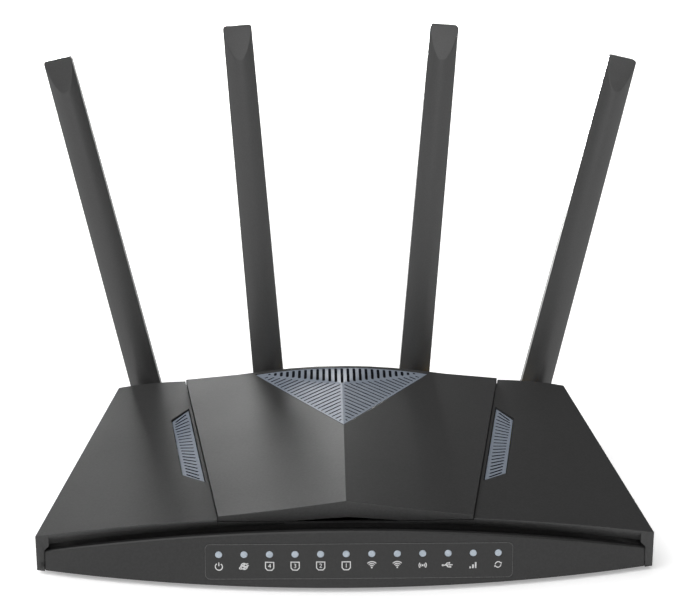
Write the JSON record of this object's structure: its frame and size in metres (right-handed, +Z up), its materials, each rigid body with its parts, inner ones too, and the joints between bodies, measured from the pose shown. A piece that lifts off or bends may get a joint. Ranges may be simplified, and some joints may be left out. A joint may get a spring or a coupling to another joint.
{
  "type": "wireless router",
  "caption": "Low wedge-shaped desktop wireless router with a ridged vented cover, an indicator fascia and upright folding blade antennas along the back.",
  "frame": {"origin": "centre of the footprint at the height of the feet, so the part stands on z = 0", "axes": "+X to the right across the case and the antenna tips, +Y to the back, +Z up"},
  "size_m": [0.2524, 0.161, 0.1882],
  "materials": {
    "case_charcoal": "fine-textured matt moulded ABS",
    "cover_grey": "fine-textured matt moulded ABS",
    "vent_blue_grey": "satin moulded ABS",
    "fascia_grey": "fine-textured matt moulded ABS",
    "label_grey": "satin printed film",
    "pipe_clear": "clear moulded light guide",
    "base_black": "matt moulded ABS",
    "foot_rubber": "matt rubber",
    "board_green": "green solder mask over glass fibre",
    "socket_black": "moulded socket plastic",
    "socket_yellow": "moulded socket plastic",
    "button_black": "matt moulded ABS",
    "tin_plate": "tin-plated sheet",
    "screw_steel": "zinc-plated steel",
    "sink_aluminium": "bare extruded aluminium",
    "element_copper": "copper-faced glass fibre strip",
    "antenna_grey": "fine-textured matt moulded ABS"
  },
  "bodies": {
    "housing": {"bottom_case": "base_black", "top_shell": "case_charcoal", "centre_cover": "cover_grey", "centre_vent_grille": "vent_blue_grey", "side_grille_left": "vent_blue_grey", "side_grille_right": "vent_blue_grey", "front_fascia": "fascia_grey", "indicator_label": "label_grey", "light_pipe_strip": "pipe_clear", "main_board": "board_green", "wifi_shield": "tin_plate", "modem_shield": "tin_plate", "heat_sink": "sink_aluminium", "lan_jack_1": "socket_yellow", "lan_jack_2": "socket_yellow", "lan_jack_3": "socket_yellow", "wan_jack": "socket_black", "usb_port": "tin_plate", "dc_jack": "socket_black", "power_switch": "socket_black", "reset_switch": "tin_plate", "wps_switch": "socket_black", "sim_reader": "tin_plate", "rubber_foot_1": "foot_rubber", "rubber_foot_2": "foot_rubber", "rubber_foot_3": "foot_rubber", "rubber_foot_4": "foot_rubber", "case_screw_1": "screw_steel", "case_screw_2": "screw_steel", "case_screw_3": "screw_steel", "case_screw_4": "screw_steel", "board_screw_1": "screw_steel", "board_screw_2": "screw_steel", "board_screw_3": "screw_steel", "board_screw_4": "screw_steel"},
    "antenna_outer_left_base": {"antenna_outer_left_swivel": "antenna_grey", "antenna_outer_left_pin": "screw_steel"},
    "antenna_outer_left_blade": {"antenna_outer_left_front_shell": "antenna_grey", "antenna_outer_left_back_cover": "antenna_grey", "antenna_outer_left_element": "element_copper"},
    "antenna_inner_left_base": {"antenna_inner_left_swivel": "antenna_grey", "antenna_inner_left_pin": "screw_steel"},
    "antenna_inner_left_blade": {"antenna_inner_left_front_shell": "antenna_grey", "antenna_inner_left_back_cover": "antenna_grey", "antenna_inner_left_element": "element_copper"},
    "antenna_inner_right_base": {"antenna_inner_right_swivel": "antenna_grey", "antenna_inner_right_pin": "screw_steel"},
    "antenna_inner_right_blade": {"antenna_inner_right_front_shell": "antenna_grey", "antenna_inner_right_back_cover": "antenna_grey", "antenna_inner_right_element": "element_copper"},
    "antenna_outer_right_base": {"antenna_outer_right_swivel": "antenna_grey", "antenna_outer_right_pin": "screw_steel"},
    "antenna_outer_right_blade": {"antenna_outer_right_front_shell": "antenna_grey", "antenna_outer_right_back_cover": "antenna_grey", "antenna_outer_right_element": "element_copper"},
    "power_button_body": {"power_button": "button_black"},
    "wps_button_body": {"wps_button": "button_black"},
    "sim_tray_body": {"sim_tray": "button_black"}
  },
  "joints": [
    {"name": "antenna_outer_left_swing", "type": "hinge", "parent": "housing", "child": "antenna_outer_left_base", "pos_m": [-0.0848, 0.0615, 0.0127], "axis": [0, 1, 0], "range_deg": [-77.5, 12.5]},
    {"name": "antenna_outer_left_fold", "type": "hinge", "parent": "antenna_outer_left_base", "child": "antenna_outer_left_blade", "pos_m": [-0.0848, 0.074, 0.0127], "axis": [-0.9763, 0, -0.2164], "range_deg": [0, 90]},
    {"name": "antenna_inner_left_swing", "type": "hinge", "parent": "housing", "child": "antenna_inner_left_base", "pos_m": [-0.0322, 0.0615, 0.0232], "axis": [0, 1, 0], "range_deg": [-7.5, 12]},
    {"name": "antenna_inner_left_fold", "type": "hinge", "parent": "antenna_inner_left_base", "child": "antenna_inner_left_blade", "pos_m": [-0.0322, 0.074, 0.0232], "axis": [-0.9974, 0, -0.0715], "range_deg": [0, 90]},
    {"name": "antenna_inner_right_swing", "type": "hinge", "parent": "housing", "child": "antenna_inner_right_base", "pos_m": [0.0322, 0.0615, 0.0232], "axis": [0, 1, 0], "range_deg": [-12, 7.5]},
    {"name": "antenna_inner_right_fold", "type": "hinge", "parent": "antenna_inner_right_base", "child": "antenna_inner_right_blade", "pos_m": [0.0322, 0.074, 0.0232], "axis": [-0.9974, 0, 0.0715], "range_deg": [0, 90]},
    {"name": "antenna_outer_right_swing", "type": "hinge", "parent": "housing", "child": "antenna_outer_right_base", "pos_m": [0.0848, 0.0615, 0.0127], "axis": [0, 1, 0], "range_deg": [-12.5, 77.5]},
    {"name": "antenna_outer_right_fold", "type": "hinge", "parent": "antenna_outer_right_base", "child": "antenna_outer_right_blade", "pos_m": [0.0848, 0.074, 0.0127], "axis": [-0.9763, 0, 0.2164], "range_deg": [0, 90]},
    {"name": "power_button_press", "type": "slide", "parent": "housing", "child": "power_button_body", "axis": [0, -1, 0], "range_m": [0, 0.0025], "stiffness_N_per_m": 300, "springref_m": -0.001},
    {"name": "wps_button_press", "type": "slide", "parent": "housing", "child": "wps_button_body", "axis": [0.9914, -0.1306, 0], "range_m": [0, 0.0008], "stiffness_N_per_m": 300, "springref_m": -0.001},
    {"name": "sim_tray_slide", "type": "slide", "parent": "housing", "child": "sim_tray_body", "axis": [0.9914, 0.1306, 0], "range_m": [0, 0.024]}
  ]
}
